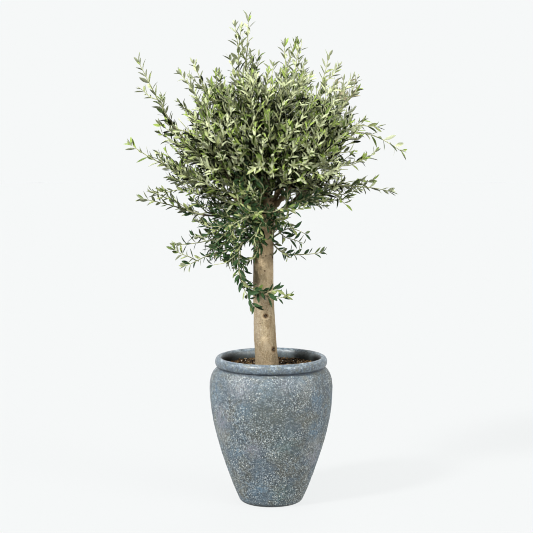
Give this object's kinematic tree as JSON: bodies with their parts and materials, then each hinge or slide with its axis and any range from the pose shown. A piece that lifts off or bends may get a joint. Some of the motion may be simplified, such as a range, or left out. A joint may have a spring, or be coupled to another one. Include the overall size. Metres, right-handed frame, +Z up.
{
  "type": "potted olive tree",
  "caption": "Olive tree on a clear trunk with a loose leafy crown, growing in a round stoneware pot with a rolled rim that stands on its flat foot.",
  "frame": {"origin": "centre of the pot's flat underside", "axes": "+Z up along the pot's axis, +X to the viewer's right, +Y away from the viewer"},
  "size_m": [0.9008, 0.6823, 1.59],
  "materials": {
    "pot": "matte",
    "soil": "matte",
    "bark": "matte",
    "foliage": "satin"
  },
  "bodies": {
    "root": {"pot": "pot", "soil": "soil", "trunk": "bark", "bough_top": "bark", "bough_right_up": "bark", "bough_left_up": "bark", "bough_right": "bark", "bough_left": "bark", "bough_front": "bark", "bough_back": "bark", "bough_right_low": "bark", "bough_left_low": "bark", "bough_front_low": "bark", "bough_back_low": "bark", "bough_top_right": "bark", "bough_top_left": "bark", "bough_front_up": "bark", "bough_back_up": "bark", "bough_front_right": "bark", "bough_back_right": "bark", "bough_front_left": "bark", "bough_back_left": "bark", "foliage_top": "foliage", "foliage_right_up": "foliage", "foliage_left_up": "foliage", "foliage_right": "foliage", "foliage_left": "foliage", "foliage_front": "foliage", "foliage_back": "foliage", "foliage_right_low": "foliage", "foliage_left_low": "foliage", "foliage_front_low": "foliage", "foliage_back_low": "foliage", "foliage_top_right": "foliage", "foliage_top_left": "foliage", "foliage_front_up": "foliage", "foliage_back_up": "foliage", "foliage_front_right": "foliage", "foliage_back_right": "foliage", "foliage_front_left": "foliage", "foliage_back_left": "foliage", "foliage_right_sprig": "foliage", "foliage_left_sprig": "foliage", "foliage_hanging_sprig": "foliage"}
  },
  "joints": []
}
